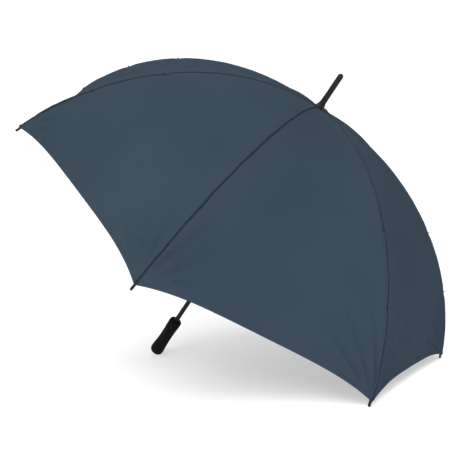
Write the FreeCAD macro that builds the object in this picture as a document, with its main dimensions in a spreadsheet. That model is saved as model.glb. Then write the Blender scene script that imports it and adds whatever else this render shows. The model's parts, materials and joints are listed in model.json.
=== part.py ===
"""Golf umbrella, open and resting on two rib tips and the end of its handle.

Millimetres and degrees. Every piece is drawn in the umbrella's own frame: +Z along the shaft towards
the ferrule, origin where the rib line meets the shaft's axis. The whole umbrella is then tipped about
Y until two neighbouring rib tips and the handle's edge touch the floor, z = 0.
"""
import FreeCAD, Part
import math
import os
import Sketcher
from FreeCAD import Placement, Rotation, Vector

DIMENSIONS = {
    # canopy and ribs
    "rib_count": 8,
    "dome_radius": 660.0,
    "crown_rise": 4.4,
    "rib_reach": 760.0,
    "rib_drop": 4.4,
    "inner_rib_width": 4.0,
    "outer_rib_width": 3.4,
    "panel_hollow": 0.015,
    "hem_rise": 17.8,
    "hem_power": 4.1,
    "tip_shown": 10.6,
    "cloth_thickness": 0.4,
    "cloth_hole": 7.5,
    "seam_gap": 0.35,
    "patch_reach": 21.5,
    "patch_thickness": 0.7,
    "patch_gap": 0.3,
    # shaft and ferrule
    "shaft_width": 14.0,
    "shaft_wall": 1.0,
    "shaft_top": 1.8,
    "shaft_length": 896.0,
    "ferrule_height": 97.0,
    "ferrule_foot": 2.2,
    "ferrule_foot_reach": 14.0,
    "ferrule_rim": 0.9,
    "ferrule_neck_height": 21.0,
    "ferrule_neck_reach": 7.8,
    "ferrule_tip_reach": 7.2,
    "ferrule_straight": 42.0,
    "spigot_length": 24.0,
    "spigot_slack": 0.05,
    # hinges of the ribs and stretchers
    "hinge_reach": 11.0,
    "notch_depth": 9.0,
    "notch_reach": 14.0,
    "notch_top": 3.4,
    "notch_bottom": 16.0,
    "overcut": 1.0,
    "slot_floor": 8.2,
    "slot_width": 3.6,
    "wire_width": 1.2,
    "groove_width": 1.6,
    "eye_reach": 2.4,
    "eye_bore": 1.7,
    "tongue_thickness": 3.0,
    "tongue_height": 4.0,
    "link_lap_angle": 0.35,
    "link_lead": 1.0,
    "link_bevel_length": 5.0,
    "link_bevel": 0.3,
    "rod_end_gap": 1.0,
    "rib_start_angle": -2.3,
    "bracket_angle": 26.5,
    "bracket_width": 6.4,
    "bracket_back": 13.0,
    "bracket_front": 15.0,
    "bracket_top": 2.9,
    "bracket_belly": 0.3,
    "lobe_wall": 1.5,
    "lobe_flare": 1.5,
    "roof_relief": 0.1,
    "bracket_block_front": 6.0,
    "socket_slack": 0.25,
    "pin_drop": 9.0,
    "pin_back": 2.0,
    "pin_width": 2.0,
    "pin_slack": 0.08,
    "flex_ahead": 11.0,
    "knuckle_reach": 3.0,
    "knuckle_lap": 2.0,
    # stretchers
    "channel_width": 4.2,
    "channel_height": 4.0,
    "channel_wall": 0.7,
    "outer_tongue": 26.0,
    "inner_tongue": 16.0,
    "tongue_lap": 1.0,
    "channel_end_wall": 4.0,
    # runner, its button and its stop
    "runner_slack": 0.25,
    "runner_reach": 10.5,
    "runner_rim_reach": 12.2,
    "runner_rim_height": 6.0,
    "runner_rim_bevel": 1.5,
    "runner_head_cone": 4.0,
    "runner_slot_below": 3.0,
    "runner_head_below": 5.0,
    "runner_head_above": 6.0,
    "runner_length": 60.0,
    "button_drop": 30.0,
    "button_height": 14.4,
    "button_width": 6.0,
    "button_inner": 8.7,
    "button_outer": 12.3,
    "button_bevel_in": 1.2,
    "button_bevel_up": 2.0,
    "button_slack": 0.2,
    "collar_reach": 9.5,
    "collar_height": 8.0,
    "collar_gap": 0.3,
    # rib tips
    "tip_width": 5.0,
    "tip_length": 24.0,
    "tip_bore": 3.8,
    "tip_bore_depth": 16.0,
    "tip_rod_gap": 0.5,
    # handle
    "handle_end": 905.0,
    "handle_length": 145.0,
    "handle_bore_slack": 0.05,
    "handle_corner": 6.0,
    "handle_corner_reach": 10.8,
    "grip_lip_reach": 8.4,
    "grip_collar_reach": 9.6,
    "grip_collar_depth": 2.2,
    "grip_step_reach": 12.4,
    "grip_step_depth": 3.2,
    "grip_shoulder_reach": 15.2,
    "grip_shoulder_depth": 7.6,
    "grip_shoulder_radius": 4.6,
    "grip_swell_reach": 15.8,
    "grip_swell_depth": 40.0,
    "grip_swell_radius": 520.0,
    "grip_waist_reach": 14.7,
    "grip_waist_depth": 95.0,
    "grip_waist_radius": 620.0,
    "grip_flare_height": 13.0,
    "grip_flare_radius": 260.0,
    "cap_reach": 9.4,
    "cap_thickness": 3.0,
    "cap_recess": 0.6,
    "cap_gap": 0.1,
    "cap_corner": 1.0,
    "plug_length": 22.0,
    # closing strap, sewn to the outside of a rear panel
    "strap_panel": 4,
    "strap_width": 24.0,
    "strap_from": 455.0,
    "strap_to": 640.0,
    "strap_thickness": 1.0,
    "strap_lift": 0.6,
    # folding
    "closing_angle": 76.5,
    "closing_flex": 29.9,
    "button_travel": 1.5,
}

CLOTH_ROWS = 14
CLOTH_COLUMNS = 9
STRAP_ROWS = 6
STRAP_COLUMNS = 3
DEGREES = 180.0 / math.pi

document = FreeCAD.newDocument("golf_umbrella")


# ---------------------------------------------------------------- sizes held in the spreadsheet


class Size:
    """A number together with the spreadsheet expression that gives it."""

    def __init__(self, value, text):
        self.value = float(value)
        self.text = text

    def __add__(self, other):
        other = size(other)
        return Size(self.value + other.value, f"({self.text} + {other.text})")

    def __sub__(self, other):
        other = size(other)
        return Size(self.value - other.value, f"({self.text} - {other.text})")

    def __mul__(self, other):
        other = size(other)
        return Size(self.value * other.value, f"({self.text} * {other.text})")

    def __truediv__(self, other):
        other = size(other)
        return Size(self.value / other.value, f"({self.text} / {other.text})")

    def __neg__(self):
        return Size(-self.value, f"(0 - {self.text})")


def size(number):
    """Take a plain number or a Size as a Size."""
    return number if isinstance(number, Size) else Size(number, f"{float(number)}")


def sine(angle):
    return Size(math.sin(math.radians(angle.value)), f"sin({angle.text})")


def cosine(angle):
    return Size(math.cos(math.radians(angle.value)), f"cos({angle.text})")


def square_root(number):
    return Size(math.sqrt(number.value), f"sqrt({number.text})")


def write_dimensions():
    """Fill the spreadsheet and return its cells as Sizes, by name."""
    sheet = document.addObject("Spreadsheet::Sheet", "dims")
    cells = {}
    for row, (name, value) in enumerate(DIMENSIONS.items(), start=1):
        sheet.set(f"A{row}", name)
        sheet.set(f"B{row}", str(value))
        sheet.setAlias(f"B{row}", name)
        cells[name] = Size(value, f"dims.{name}")
    document.recompute()
    return cells


cell = write_dimensions()


# ---------------------------------------------------------------- drawing helpers


def new_body(label):
    body = document.addObject("PartDesign::Body", label)
    body.Label = label
    return body


def new_sketch(body, plane, name, turn=None):
    """A sketch on one of the body's origin planes, turned about its own across axis if asked."""
    sketch = body.newObject("Sketcher::SketchObject", f"{body.Name}_{name}")
    face = next(f for f in body.Origin.OriginFeatures if f.Role == plane)
    sketch.AttachmentSupport = [(face, "")]
    sketch.MapMode = "FlatFace"
    if turn is not None:
        sketch.AttachmentOffset = Placement(Vector(), Rotation(Vector(1, 0, 0), turn.value))
        sketch.setExpression("AttachmentOffset.Rotation.Angle", turn.text)
    return sketch


def bind(sketch, index, amount):
    sketch.setExpression(f"Constraints[{index}]", amount.text)


def pin_point(sketch, geometry, point, across, up):
    """Hold a point of the sketch at a distance across and up from its origin."""
    for kind, amount in (("DistanceX", across), ("DistanceY", up)):
        index = sketch.addConstraint(Sketcher.Constraint(kind, -1, 1, geometry, point, amount.value))
        bind(sketch, index, amount)


def draw_circle(sketch, across, up, radius):
    across, up, radius = size(across), size(up), size(radius)
    centre = Vector(across.value, up.value, 0)
    circle = sketch.addGeometry(Part.Circle(centre, Vector(0, 0, 1), radius.value), False)
    pin_point(sketch, circle, 3, across, up)
    bind(sketch, sketch.addConstraint(Sketcher.Constraint("Radius", circle, radius.value)), radius)


def arc_between(start, end, radius, turn):
    """The short arc from start to end; turn is 1 for anticlockwise and -1 for clockwise."""
    middle = (start + end) * 0.5
    along = end - start
    rise = math.sqrt(max(radius**2 - (along.Length / 2) ** 2, 0.0))
    side = Vector(-along.y, along.x, 0).normalize() * turn
    centre = middle + side * rise
    first, last = (start, end) if turn > 0 else (end, start)
    angles = [math.atan2(p.y - centre.y, p.x - centre.x) for p in (first, last)]
    return Part.ArcOfCircle(Part.Circle(centre, Vector(0, 0, 1), radius), angles[0], angles[1])


def draw_outline(sketch, corners):
    """A closed outline. A corner is (across, up), or (across, up, radius, turn) at the end of an arc."""
    corners = [tuple(size(c) for c in corner[:3]) + tuple(corner[3:]) for corner in corners]
    sides = []
    for start, end in zip(corners, corners[1:] + corners[:1]):
        a = Vector(start[0].value, start[1].value, 0)
        b = Vector(end[0].value, end[1].value, 0)
        if len(end) == 2:
            sides.append((sketch.addGeometry(Part.LineSegment(a, b), False), 1, 2))
            continue
        arc = sketch.addGeometry(arc_between(a, b, end[2].value, end[3]), False)
        bind(sketch, sketch.addConstraint(Sketcher.Constraint("Radius", arc, end[2].value)), end[2])
        sides.append((arc, 1, 2) if end[3] > 0 else (arc, 2, 1))
    for (side, first, last), (after, after_first, _), corner in zip(sides, sides[1:] + sides[:1], corners):
        sketch.addConstraint(Sketcher.Constraint("Coincident", side, last, after, after_first))
        pin_point(sketch, side, first, corner[0], corner[1])


def draw_rectangle(sketch, left, bottom, right, top):
    draw_outline(sketch, [(left, bottom), (right, bottom), (right, top), (left, top)])


def add_feature(body, kind, sketch, name):
    feature = body.newObject(f"PartDesign::{kind}", f"{body.Name}_{name}")
    feature.Profile = sketch
    return feature


def pad(body, sketch, name, length):
    """Thicken a sketch equally to both sides."""
    feature = add_feature(body, "Pad", sketch, name)
    feature.Midplane = True
    feature.setExpression("Length", size(length).text)
    return feature


def cut(body, sketch, name, length):
    """Remove a sketch's outline, equally to both sides."""
    feature = add_feature(body, "Pocket", sketch, name)
    feature.Midplane = True
    feature.setExpression("Length", size(length).text)
    return feature


def revolve(body, sketch, name, axis="V_Axis", angle=None):
    feature = add_feature(body, "Revolution", sketch, name)
    feature.ReferenceAxis = (sketch, [axis])
    if angle is not None:
        feature.setExpression("Angle", angle.text)
    return feature


def repeat_round_shaft(body, feature, name):
    """Repeat a feature round the body's Z axis, once for each rib."""
    pattern = body.newObject("PartDesign::PolarPattern", f"{body.Name}_{name}")
    pattern.Originals = [feature]
    z_axis = next(f for f in body.Origin.OriginFeatures if f.Role == "Z_Axis")
    pattern.Axis = (z_axis, [""])
    pattern.Angle = 360
    pattern.setExpression("Occurrences", "dims.rib_count")
    body.Tip = pattern
    return pattern


# ---------------------------------------------------------------- places that follow from the sizes

half_step = size(180.0) / cell["rib_count"]
arc_centre_reach = cell["dome_radius"] * sine(cell["crown_rise"])
arc_centre_height = -(cell["dome_radius"] * cosine(cell["crown_rise"]))
rib_line = cell["dome_radius"] - cell["rib_drop"]
end_angle = cell["rib_reach"] / cell["dome_radius"] * DEGREES - cell["crown_rise"]
shaft_reach = cell["shaft_width"] / 2
bore_reach = shaft_reach - cell["shaft_wall"]


def turn_along_rib(length):
    """The angle that a length along the rib's middle line turns through."""
    return length / rib_line * DEGREES


flex_angle = cell["bracket_angle"] + turn_along_rib(cell["flex_ahead"])


def on_rib(angle, inset=0.0):
    """Reach and height of the rib's middle line where it slopes down by angle."""
    radius = rib_line - inset
    return (arc_centre_reach + radius * sine(angle), arc_centre_height + radius * cosine(angle))


def pin_place():
    """Reach and height of the stretcher's pin, below the joint bracket."""
    reach, height = on_rib(cell["bracket_angle"], cell["pin_drop"])
    back = cell["pin_back"]
    return (
        reach - back * cosine(cell["bracket_angle"]),
        height + back * sine(cell["bracket_angle"]),
    )


notch_pivot = (cell["hinge_reach"], -cell["notch_depth"])
stretcher_pin = pin_place()
runner_height = stretcher_pin[1] * 2 + cell["notch_depth"]
runner_pivot = (cell["hinge_reach"], runner_height)
flex_pivot = on_rib(flex_angle)


def tip_place():
    """Reach, height and slope of a rib tip's end; its bore is true to the rib at the bore's middle."""
    ahead = cell["tip_length"] - cell["tip_bore_depth"] / 2
    slope = end_angle - turn_along_rib(ahead)
    reach, height = on_rib(slope)
    return (reach + ahead * cosine(slope), height - ahead * sine(slope), slope)


def stretcher_length():
    across = stretcher_pin[0] - runner_pivot[0]
    up = stretcher_pin[1] - runner_pivot[1]
    return square_root(across * across + up * up)


def stretcher_slope():
    """How steeply the open stretcher climbs from the runner to the bracket."""
    across = stretcher_pin[0].value - runner_pivot[0].value
    return math.degrees(math.atan2(stretcher_pin[1].value - runner_height.value, across))


def resting_tilt():
    """The lean at which the handle's rounded edge and two neighbouring rib tips touch one plane."""
    tip_radius = cell["tip_width"].value / 2
    end_reach, end_height, slope = (place.value for place in tip_place())
    spread = math.cos(math.radians(half_step.value))
    reach = (end_reach - tip_radius * math.cos(math.radians(slope))) * spread
    height = end_height + tip_radius * math.sin(math.radians(slope))
    corner = cell["handle_corner"].value
    corner_height = -(cell["handle_end"].value - corner)
    along = height - corner_height
    across = reach - cell["handle_corner_reach"].value
    return math.degrees(
        math.atan2(along, across) + math.asin((corner - tip_radius) / math.hypot(along, across))
    )


tilt = resting_tilt()


def rib_azimuth(number):
    """Direction of a rib round the shaft; ribs 1 and 2 are the pair on the floor."""
    return (2 * number - 3) * half_step.value


def panel_azimuth(number):
    """Direction of the panel between a rib and the next one."""
    return (2 * number - 2) * half_step.value


def in_rib_plane(number, reach=0.0, height=0.0, slope=0.0):
    """Placement at a reach and height in a rib's plane, turned down by slope."""
    spin = Placement(Vector(), Rotation(Vector(0, 0, 1), rib_azimuth(number)))
    return spin * Placement(Vector(reach, 0, height), Rotation(Vector(0, 1, 0), slope))


pieces = []


def keep(piece, placement=None):
    """List a finished piece with its placement in the umbrella's own frame."""
    pieces.append((piece, placement or Placement()))


# ---------------------------------------------------------------- shaft, ferrule and crown


def make_shaft():
    body = new_body("shaft")
    sketch = new_sketch(body, "XZ_Plane", "wall")
    draw_rectangle(sketch, bore_reach, -cell["shaft_length"], shaft_reach, cell["shaft_top"])
    revolve(body, sketch, "tube")
    keep(body)


def make_ferrule():
    """Moulded cap with a flared foot; its spigot plugs into the shaft's bore."""
    body = new_body("ferrule")
    sketch = new_sketch(body, "XZ_Plane", "profile")
    spigot = bore_reach - cell["spigot_slack"]
    foot = cell["ferrule_foot"]
    flare_across = cell["ferrule_foot_reach"] - cell["ferrule_neck_reach"]
    flare_up = cell["ferrule_neck_height"] - foot - cell["ferrule_rim"]
    flare_radius = (flare_across * flare_across + flare_up * flare_up) / (flare_across * 2)
    tip = cell["ferrule_tip_reach"]
    draw_outline(
        sketch,
        [
            (0, foot - cell["spigot_length"]),
            (spigot, foot - cell["spigot_length"]),
            (spigot, foot),
            (cell["ferrule_foot_reach"], foot),
            (cell["ferrule_foot_reach"], foot + cell["ferrule_rim"]),
            (cell["ferrule_neck_reach"], cell["ferrule_neck_height"], flare_radius, -1),
            (tip, cell["ferrule_height"] - tip - cell["ferrule_straight"]),
            (tip, cell["ferrule_height"] - tip),
            (0, cell["ferrule_height"], tip, 1),
        ],
    )
    revolve(body, sketch, "cap")
    keep(body)


def make_crown_patch():
    """Round cloth patch between the ferrule's foot and the canopy."""
    body = new_body("crown_patch")
    sketch = new_sketch(body, "XZ_Plane", "profile")
    lower = cell["dome_radius"] + cell["patch_gap"]
    upper = lower + cell["patch_thickness"]
    hole = shaft_reach + cell["runner_slack"]
    edge = cell["patch_reach"]

    def height_on(radius, reach):
        back = reach - arc_centre_reach
        return arc_centre_height + square_root(radius * radius - back * back)

    draw_outline(
        sketch,
        [
            (hole, height_on(lower, hole)),
            (edge, height_on(lower, edge), lower, -1),
            (edge, height_on(upper, edge)),
            (hole, height_on(upper, hole), upper, 1),
        ],
    )
    revolve(body, sketch, "disc")
    keep(body)


# ---------------------------------------------------------------- notch, wires and stop


def cut_hinge_seat(body, low, high, groove_low, groove_high):
    """Cut the wire's round groove and one radial slot for each rib or stretcher."""
    groove = new_sketch(body, "XZ_Plane", "groove_section")
    half = cell["groove_width"] / 2
    draw_rectangle(
        groove, cell["hinge_reach"] - half, groove_low, cell["hinge_reach"] + half, groove_high
    )
    feature = add_feature(body, "Groove", groove, "groove")
    feature.ReferenceAxis = (groove, ["V_Axis"])
    document.recompute()
    slot = new_sketch(body, "XZ_Plane", "slot_side")
    past = cell["overcut"]
    draw_rectangle(slot, cell["slot_floor"], low - past, cell["notch_reach"] + past, high + past)
    first = cut(body, slot, "slot", cell["slot_width"])
    pattern = repeat_round_shaft(body, first, "slots")
    document.recompute()
    return pattern


def make_top_notch():
    """Slotted hub fixed near the top of the shaft, which the ribs hinge in."""
    body = new_body("top_notch")
    sketch = new_sketch(body, "XZ_Plane", "section")
    bore = shaft_reach + cell["spigot_slack"]
    low, high = -cell["notch_bottom"], -cell["notch_top"]
    draw_rectangle(sketch, bore, low, cell["notch_reach"], high)
    revolve(body, sketch, "hub")
    roof = notch_pivot[1] + cell["groove_width"] / 2
    cut_hinge_seat(body, low, high, low, roof)
    keep(body, Placement(Vector(), Rotation(Vector(0, 0, 1), half_step.value)))


def make_wire(label, height):
    """Closed wire ring that the rib or stretcher eyes turn on."""
    ring = document.addObject("Part::Torus", label)
    ring.Label = label
    ring.setExpression("Radius1", "dims.hinge_reach")
    ring.setExpression("Radius2", "dims.wire_width / 2")
    keep(ring, Placement(Vector(0, 0, height.value), Rotation()))


def make_stop_collar():
    """Ring fixed on the shaft; the open runner comes to rest against it."""
    body = new_body("stop_collar")
    sketch = new_sketch(body, "XZ_Plane", "section")
    low = runner_height + cell["runner_head_above"] + cell["collar_gap"]
    bore = shaft_reach + cell["spigot_slack"]
    draw_rectangle(sketch, bore, low, cell["collar_reach"], low + cell["collar_height"])
    revolve(body, sketch, "ring")
    keep(body)


# ---------------------------------------------------------------- runner and its button


def make_runner():
    """Sleeve that slides on the shaft and carries the stretchers, with a window for its button."""
    body = new_body("runner")
    sketch = new_sketch(body, "XZ_Plane", "section")
    bore = shaft_reach + cell["runner_slack"]
    head_low = runner_height - cell["runner_head_below"]
    head_high = runner_height + cell["runner_head_above"]
    bottom = runner_height - cell["runner_length"]
    rim_top = bottom + cell["runner_rim_height"]
    draw_outline(
        sketch,
        [
            (bore, bottom),
            (cell["runner_rim_reach"], bottom),
            (cell["runner_rim_reach"], rim_top - cell["runner_rim_bevel"]),
            (cell["runner_reach"], rim_top),
            (cell["runner_reach"], head_low - cell["runner_head_cone"]),
            (cell["notch_reach"], head_low),
            (cell["notch_reach"], head_high),
            (bore, head_high),
        ],
    )
    revolve(body, sketch, "sleeve")
    floor = runner_height - cell["groove_width"] / 2
    cut_hinge_seat(body, head_low - cell["runner_slot_below"], head_high, floor, head_high)
    window = new_sketch(body, "YZ_Plane", "window_face")
    half = cell["button_width"] / 2 + cell["button_slack"]
    middle = runner_height - cell["button_drop"]
    rise = cell["button_height"] / 2 + cell["button_slack"]
    draw_rectangle(window, -half, middle - rise, half, middle + rise)
    feature = add_feature(body, "Pocket", window, "window")
    feature.setExpression("Length", (cell["runner_rim_reach"] + cell["overcut"]).text)
    body.Tip = feature
    keep(body, Placement(Vector(), Rotation(Vector(0, 0, 1), half_step.value)))


def make_runner_button():
    """Push button in the runner's window; it faces away from the floor."""
    body = new_body("runner_button")
    sketch = new_sketch(body, "XZ_Plane", "side")
    middle = runner_height - cell["button_drop"]
    rise = cell["button_height"] / 2
    inner, outer = cell["button_inner"], cell["button_outer"]
    swell = outer - cell["button_bevel_in"]
    bevel = cell["button_bevel_up"]
    draw_outline(
        sketch,
        [
            (-inner, middle - rise),
            (-inner, middle + rise),
            (-swell, middle + rise),
            (-outer, middle + rise - bevel),
            (-outer, middle - rise + bevel),
            (-swell, middle - rise),
        ],
    )
    pad(body, sketch, "block", cell["button_width"])
    keep(body, Placement(Vector(), Rotation(Vector(0, 0, 1), half_step.value)))


# ---------------------------------------------------------------- handle


def grip_point(name, top, bulge):
    """The end of one of the grip's curved stretches, with the curve's radius and side."""
    reach, depth = cell[f"grip_{name}_reach"], cell[f"grip_{name}_depth"]
    return (reach, top - depth, cell[f"grip_{name}_radius"], bulge)


def make_handle_grip():
    """Foam grip pushed over the end of the shaft: shouldered top, slight waist, rounded end."""
    body = new_body("handle_grip")
    sketch = new_sketch(body, "XZ_Plane", "profile")
    bore = shaft_reach + cell["handle_bore_slack"]
    end = -cell["handle_end"]
    top = end + cell["handle_length"]
    corner = cell["handle_corner"]
    widest = cell["handle_corner_reach"] + corner
    recess = cell["cap_thickness"] - cell["cap_recess"]
    seat = cell["cap_reach"] + cell["handle_bore_slack"]
    draw_outline(
        sketch,
        [
            (bore, top),
            (cell["grip_lip_reach"], top),
            (cell["grip_collar_reach"], top - cell["grip_collar_depth"]),
            (cell["grip_step_reach"], top - cell["grip_step_depth"]),
            grip_point("shoulder", top, -1),
            grip_point("swell", top, -1),
            grip_point("waist", top, -1),
            (widest, end + cell["grip_flare_height"], cell["grip_flare_radius"], 1),
            (widest, end + corner),
            (cell["handle_corner_reach"], end, corner, -1),
            (seat, end),
            (seat, end + recess + cell["cap_recess"]),
            (bore, end + recess + cell["cap_recess"]),
        ],
    )
    revolve(body, sketch, "foam")
    keep(body)


def make_handle_end_cap():
    """Plastic plug that closes the end of the shaft inside the foam."""
    body = new_body("handle_end_cap")
    sketch = new_sketch(body, "XZ_Plane", "profile")
    low = -cell["handle_end"] + cell["cap_recess"]
    high = low + cell["cap_thickness"] - cell["cap_recess"] - cell["cap_gap"]
    corner = cell["cap_corner"]
    plug = bore_reach - cell["spigot_slack"]
    draw_outline(
        sketch,
        [
            (0, low),
            (cell["cap_reach"] - corner, low),
            (cell["cap_reach"], low + corner, corner, 1),
            (cell["cap_reach"], high),
            (plug, high),
            (plug, high + cell["plug_length"]),
            (0, high + cell["plug_length"]),
        ],
    )
    revolve(body, sketch, "plug")
    keep(body)


# ---------------------------------------------------------------- ribs, brackets, tips, stretchers


def rod_along_dome(body, name, start, sweep, width):
    """A round rod bent along the dome; the body's origin is the middle of the dome's arc."""
    section = new_sketch(body, "YZ_Plane", name, turn=start)
    draw_circle(section, 0, rib_line, width / 2)
    return revolve(body, section, f"{name}_rod", "H_Axis", sweep)


def bore_across(body, name, across, up, radius):
    """A hole through the body along its Y axis."""
    sketch = new_sketch(body, "XZ_Plane", name)
    draw_circle(sketch, across, up, radius)
    return cut(body, sketch, f"{name}_hole", cell["bracket_width"] * 2)


def make_inner_rib(number):
    """Rib from the top notch to the joint bracket, with a flat eye at its notch end."""
    body = new_body(f"inner_rib_{number}")
    start = cell["rib_start_angle"]
    sweep = cell["bracket_angle"] - start - turn_along_rib(cell["rod_end_gap"])
    rod_along_dome(body, "bow", start, sweep, cell["inner_rib_width"])
    eye_across = notch_pivot[0] - arc_centre_reach
    eye_up = notch_pivot[1] - arc_centre_height
    eye = new_sketch(body, "XZ_Plane", "eye_outline")
    draw_circle(eye, eye_across, eye_up, cell["eye_reach"])
    pad(body, eye, "eye", cell["tongue_thickness"])
    joined = start + cell["link_lap_angle"]
    rod_across = rib_line * sine(joined)
    rod_up = rib_line * cosine(joined)
    half = cell["tongue_height"] / 2
    link = new_sketch(body, "XZ_Plane", "link_outline")
    draw_outline(
        link,
        [
            (eye_across - cell["link_lead"], eye_up + half),
            (eye_across + cell["link_lead"], eye_up - half),
            (rod_across, rod_up - half),
            (rod_across, rod_up + half),
            (rod_across - cell["link_bevel_length"], rod_up + half - cell["link_bevel"]),
        ],
    )
    pad(body, link, "link", cell["tongue_thickness"])
    bore_across(body, "pivot", eye_across, eye_up, cell["eye_bore"] / 2)
    centre = (arc_centre_reach.value, arc_centre_height.value)
    keep(body, in_rib_plane(number, *centre))


def make_joint_bracket(number):
    """Clamp on the inner rib's end: it holds the stretcher's pin and the outer rib's hinge pin."""
    body = new_body(f"joint_bracket_{number}")
    back, front = -cell["bracket_back"], cell["bracket_front"]
    top, low = cell["bracket_top"], -(cell["bracket_top"] + cell["bracket_belly"])
    pin_across, pin_up = -cell["pin_back"], -cell["pin_drop"]
    lobe = cell["pin_width"] / 2 + cell["lobe_wall"]
    flare = lobe + cell["lobe_flare"]
    past = cell["overcut"]
    side = new_sketch(body, "XZ_Plane", "side")
    draw_outline(
        side,
        [
            (back, top),
            (back, low),
            (pin_across - flare, low),
            (pin_across - lobe, pin_up),
            (pin_across, pin_up - lobe, lobe, 1),
            (pin_across + lobe, pin_up, lobe, 1),
            (pin_across + flare, low),
            (front, low),
            (front, top),
        ],
    )
    pad(body, side, "cheeks", cell["bracket_width"])
    gap = new_sketch(body, "XZ_Plane", "tongue_gap")
    draw_rectangle(gap, back - past, pin_up - lobe - past, front + past, low + cell["roof_relief"])
    cut(body, gap, "tongue_room", cell["slot_width"])
    mouth = new_sketch(body, "XZ_Plane", "knuckle_gap")
    draw_rectangle(mouth, cell["bracket_block_front"], low - past, front + past, top + past)
    cut(body, mouth, "knuckle_room", cell["slot_width"])
    socket = new_sketch(body, "YZ_Plane", "rod_socket")
    draw_circle(socket, 0, 0, cell["inner_rib_width"] / 2 + cell["socket_slack"])
    hole = add_feature(body, "Pocket", socket, "rod_hole")
    hole.setExpression("Length", (cell["bracket_back"] + past).text)
    pins = new_sketch(body, "XZ_Plane", "pin_ends")
    draw_circle(pins, pin_across, pin_up, cell["pin_width"] / 2)
    turn = flex_angle - cell["bracket_angle"]
    draw_circle(pins, rib_line * sine(turn), rib_line * cosine(turn) - rib_line, cell["pin_width"] / 2)
    pad(body, pins, "pins", cell["bracket_width"])
    reach, height = on_rib(cell["bracket_angle"])
    keep(body, in_rib_plane(number, reach.value, height.value, cell["bracket_angle"].value))


def make_outer_rib(number):
    """Thinner rib from the joint bracket to the tip, hinged on the bracket by its knuckle."""
    body = new_body(f"outer_rib_{number}")
    start = flex_angle + turn_along_rib(cell["knuckle_lap"])
    held = cell["tip_length"] - cell["tip_bore_depth"] + cell["tip_rod_gap"]
    sweep = end_angle - start - turn_along_rib(held)
    rod_along_dome(body, "bow", start, sweep, cell["outer_rib_width"])
    across = rib_line * sine(flex_angle)
    up = rib_line * cosine(flex_angle)
    knuckle = new_sketch(body, "XZ_Plane", "knuckle_outline")
    draw_circle(knuckle, across, up, cell["knuckle_reach"])
    pad(body, knuckle, "knuckle", cell["tongue_thickness"])
    bore_across(body, "pivot", across, up, cell["pin_width"] / 2 + cell["pin_slack"])
    centre = (arc_centre_reach.value, arc_centre_height.value)
    keep(body, in_rib_plane(number, *centre))


def make_rib_tip(number):
    """Round-ended cap on the rib's end; the canopy's corner is sewn to it."""
    body = new_body(f"rib_tip_{number}")
    radius = cell["tip_width"] / 2
    sketch = new_sketch(body, "XZ_Plane", "profile")
    bore = cell["tip_bore"] / 2
    depth = cell["tip_bore_depth"] - cell["tip_length"]
    draw_outline(
        sketch,
        [
            (-cell["tip_length"], bore),
            (depth, bore),
            (depth, 0),
            (0, 0),
            (-radius, radius, radius, 1),
            (-cell["tip_length"], radius),
        ],
    )
    revolve(body, sketch, "cap", "H_Axis")
    reach, height, slope = tip_place()
    keep(body, in_rib_plane(number, reach.value, height.value, slope.value))


def make_stretcher(number):
    """Pressed channel from the runner to the joint bracket, with a flat tongue at each end."""
    body = new_body(f"stretcher_{number}")
    length = stretcher_length()
    half_width, half_height = cell["channel_width"] / 2, cell["channel_height"] / 2
    inside = half_width - cell["channel_wall"]
    start, stop = cell["inner_tongue"], length - cell["outer_tongue"]
    profile = new_sketch(body, "XZ_Plane", "side")
    draw_rectangle(profile, start, -half_height, stop, half_height)
    pad(body, profile, "bar", cell["channel_width"])
    trough = new_sketch(body, "XZ_Plane", "trough_side")
    wall = cell["channel_wall"]
    trough_start, trough_stop = start + cell["channel_end_wall"], stop - cell["channel_end_wall"]
    trough_top = half_height + cell["overcut"]
    draw_rectangle(trough, trough_start, wall - half_height, trough_stop, trough_top)
    cut(body, trough, "trough", inside * 2)
    ends = new_sketch(body, "XZ_Plane", "tongues")
    tongue = cell["tongue_height"] / 2
    draw_rectangle(ends, 0, -tongue, start + cell["tongue_lap"], tongue)
    draw_rectangle(ends, stop - cell["tongue_lap"], -tongue, length, tongue)
    pad(body, ends, "tongue_pair", cell["tongue_thickness"])
    eyes = new_sketch(body, "XZ_Plane", "eye_outlines")
    draw_circle(eyes, 0, 0, cell["eye_reach"])
    draw_circle(eyes, length, 0, cell["eye_reach"])
    pad(body, eyes, "eyes", cell["tongue_thickness"])
    bore_across(body, "runner_pivot", 0, 0, cell["eye_bore"] / 2)
    bore_across(body, "bracket_pivot", length, 0, cell["pin_width"] / 2 + cell["pin_slack"])
    keep(
        body,
        in_rib_plane(number, runner_pivot[0].value, runner_pivot[1].value, -stretcher_slope()),
    )


# ---------------------------------------------------------------- canopy cloth and closing strap


def cloth_point(along, sideways, lift, inset):
    """A point over a panel, in the panel's own frame with +X through its middle.

    along is the distance down the rib line, sideways runs from -1 at one rib to 1 at the next, lift
    is the height above the cloth's outer face, and inset the gap left beside each seam. The cloth
    runs straight from rib to rib except for a slight hollow between them.
    """
    radius = cell["dome_radius"].value
    slope = along / radius - math.radians(cell["crown_rise"].value)
    reach = arc_centre_reach.value + radius * math.sin(slope)
    height = arc_centre_height.value + radius * math.cos(slope)
    spread = math.radians(half_step.value)
    half_chord = reach * math.sin(spread)
    hollow = cell["panel_hollow"].value * 2 * half_chord * (1 - sideways**2)
    out = lift - hollow
    return Vector(
        reach * math.cos(spread) + out * math.sin(slope),
        (half_chord - inset) * sideways,
        height + out * math.cos(slope),
    )


def hem_along(sideways):
    """Distance down the rib line at which the hem lies."""
    corner = cell["rib_reach"].value - cell["tip_shown"].value
    return corner - cell["hem_rise"].value * (1 - abs(sideways) ** cell["hem_power"].value)


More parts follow.
